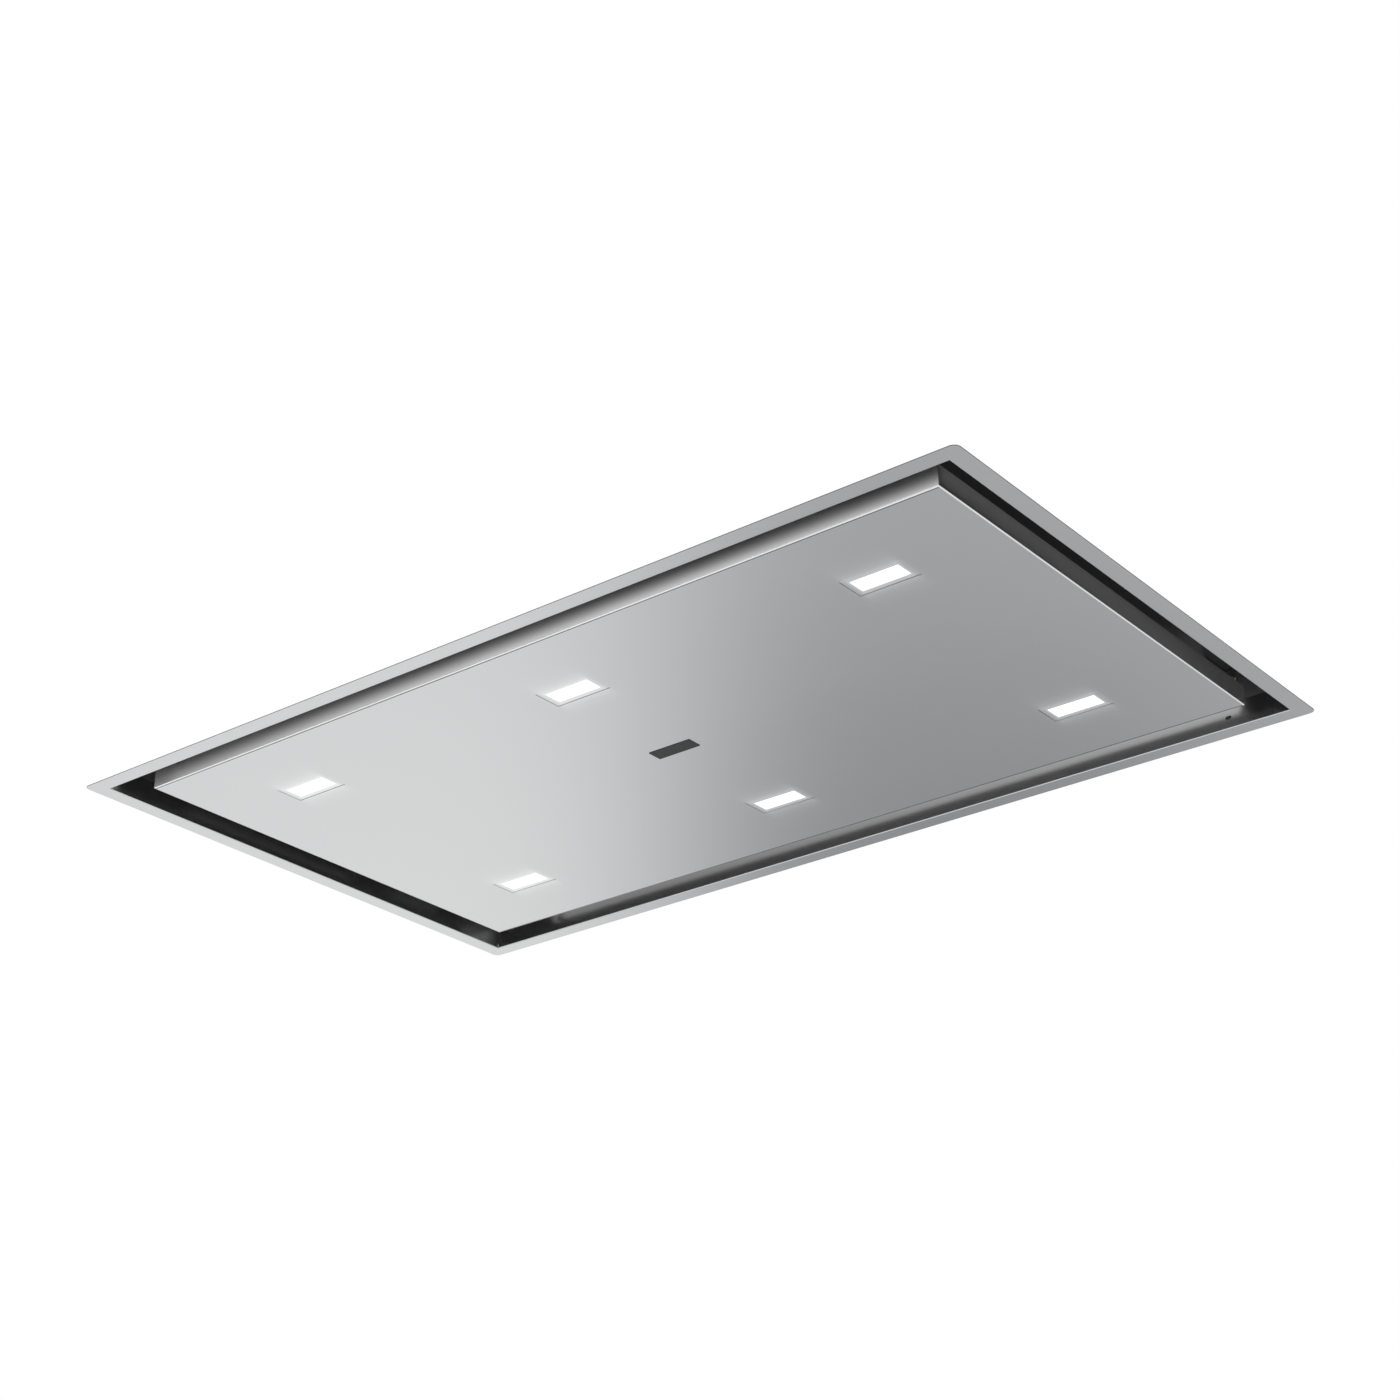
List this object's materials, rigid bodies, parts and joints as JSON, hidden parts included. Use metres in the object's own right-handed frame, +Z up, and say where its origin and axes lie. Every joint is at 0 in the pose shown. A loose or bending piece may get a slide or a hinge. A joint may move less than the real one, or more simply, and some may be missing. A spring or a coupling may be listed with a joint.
{
  "type": "ceiling range hood",
  "caption": "Flush ceiling range hood with a hinged steel panel, lamps, suction slots round the panel's edge, grease filters and a fan box with a round outlet.",
  "frame": {"origin": "centre of the trim frame's lower face", "axes": "+X along the long side, +Y towards the panel's hinged long edge, +Z up into the ceiling"},
  "size_m": [1.2, 0.7, 0.3],
  "materials": {
    "brushed_stainless": "brushed stainless steel, fine grain",
    "galvanised_sheet": "galvanised sheet, matt",
    "filter_aluminium": "satin aluminium, expanded mesh",
    "zinc_hardware": "zinc-plated steel",
    "badge_grey": "dark grey blank plate, satin",
    "lamp_opal": "opal diffuser, lit",
    "black_plastic": "black moulded plastic, fine grain",
    "grey_plastic": "grey moulded plastic, fine grain",
    "motor_metal": "cast and turned motor case",
    "circuit_board": "green circuit board"
  },
  "bodies": {
    "canopy": {"trim_frame": "brushed_stainless", "canopy_body": "galvanised_sheet", "hinge_arm_1": "zinc_hardware", "hinge_arm_2": "zinc_hardware", "magnet_catch_1": "black_plastic", "magnet_catch_2": "black_plastic", "filter_carrier": "galvanised_sheet", "filter_frame_1": "filter_aluminium", "filter_mesh_1": "filter_aluminium", "filter_frame_2": "filter_aluminium", "filter_mesh_2": "filter_aluminium", "filter_frame_3": "filter_aluminium", "filter_mesh_3": "filter_aluminium", "blower_housing": "galvanised_sheet", "scroll_housing": "black_plastic", "inlet_ring": "grey_plastic", "fan_motor": "motor_metal", "outlet_collar": "black_plastic", "flap_pin": "zinc_hardware", "control_box": "galvanised_sheet", "control_lid": "galvanised_sheet", "control_board": "circuit_board", "cable_gland": "black_plastic", "lamp_driver": "black_plastic", "hanger_bracket_1": "galvanised_sheet", "hanger_bracket_2": "galvanised_sheet", "hanger_bracket_3": "galvanised_sheet", "hanger_bracket_4": "galvanised_sheet"},
    "panel": {"panel_skin": "brushed_stainless", "panel_back": "brushed_stainless", "badge_plate": "badge_grey", "lamp_housing_1": "brushed_stainless", "lamp_housing_2": "brushed_stainless", "lamp_housing_3": "brushed_stainless", "lamp_housing_4": "brushed_stainless", "lamp_housing_5": "brushed_stainless", "lamp_housing_6": "brushed_stainless", "lamp_lens_1": "lamp_opal", "lamp_lens_2": "lamp_opal", "lamp_lens_3": "lamp_opal", "lamp_lens_4": "lamp_opal", "lamp_lens_5": "lamp_opal", "lamp_lens_6": "lamp_opal", "hinge_leaf_1": "zinc_hardware", "hinge_leaf_2": "zinc_hardware", "hinge_pin_1": "zinc_hardware", "hinge_pin_2": "zinc_hardware", "strike_plate_1": "zinc_hardware", "strike_plate_2": "zinc_hardware"},
    "filter_latch_a": {"filter_latch_1": "black_plastic"},
    "filter_latch_b": {"filter_latch_2": "black_plastic"},
    "filter_latch_c": {"filter_latch_3": "black_plastic"},
    "fan_rotor": {"fan_wheel": "grey_plastic", "motor_shaft": "zinc_hardware"},
    "flap_a": {"outlet_flap_1": "grey_plastic"},
    "flap_b": {"outlet_flap_2": "grey_plastic"}
  },
  "joints": [
    {"name": "panel_hinge", "type": "hinge", "parent": "canopy", "child": "panel", "pos_m": [0, 0.286, 0.034], "axis": [1, 0, 0], "range_deg": [0, 88]},
    {"name": "filter_latch_a_slide", "type": "slide", "parent": "canopy", "child": "filter_latch_a", "axis": [0, 1, 0], "range_m": [0, 0.005], "stiffness_N_per_m": 200, "springref_m": -0.004},
    {"name": "filter_latch_b_slide", "type": "slide", "parent": "canopy", "child": "filter_latch_b", "axis": [0, 1, 0], "range_m": [0, 0.005], "stiffness_N_per_m": 200, "springref_m": -0.004},
    {"name": "filter_latch_c_slide", "type": "slide", "parent": "canopy", "child": "filter_latch_c", "axis": [0, 1, 0], "range_m": [0, 0.005], "stiffness_N_per_m": 200, "springref_m": -0.004},
    {"name": "fan_spin", "type": "hinge", "parent": "canopy", "child": "fan_rotor", "pos_m": [0, 0, 0.18], "axis": [0, 0, 1], "continuous": true},
    {"name": "flap_a_swing", "type": "hinge", "parent": "canopy", "child": "flap_a", "pos_m": [0.2403, -0.108, 0.1943], "axis": [0, 0, -1], "range_deg": [0, 75], "stiffness_Nm_per_rad": 0.02},
    {"name": "flap_b_swing", "type": "hinge", "parent": "canopy", "child": "flap_b", "pos_m": [0.2403, -0.108, 0.1943], "axis": [0, 0, 1], "range_deg": [0, 75], "stiffness_Nm_per_rad": 0.02}
  ]
}
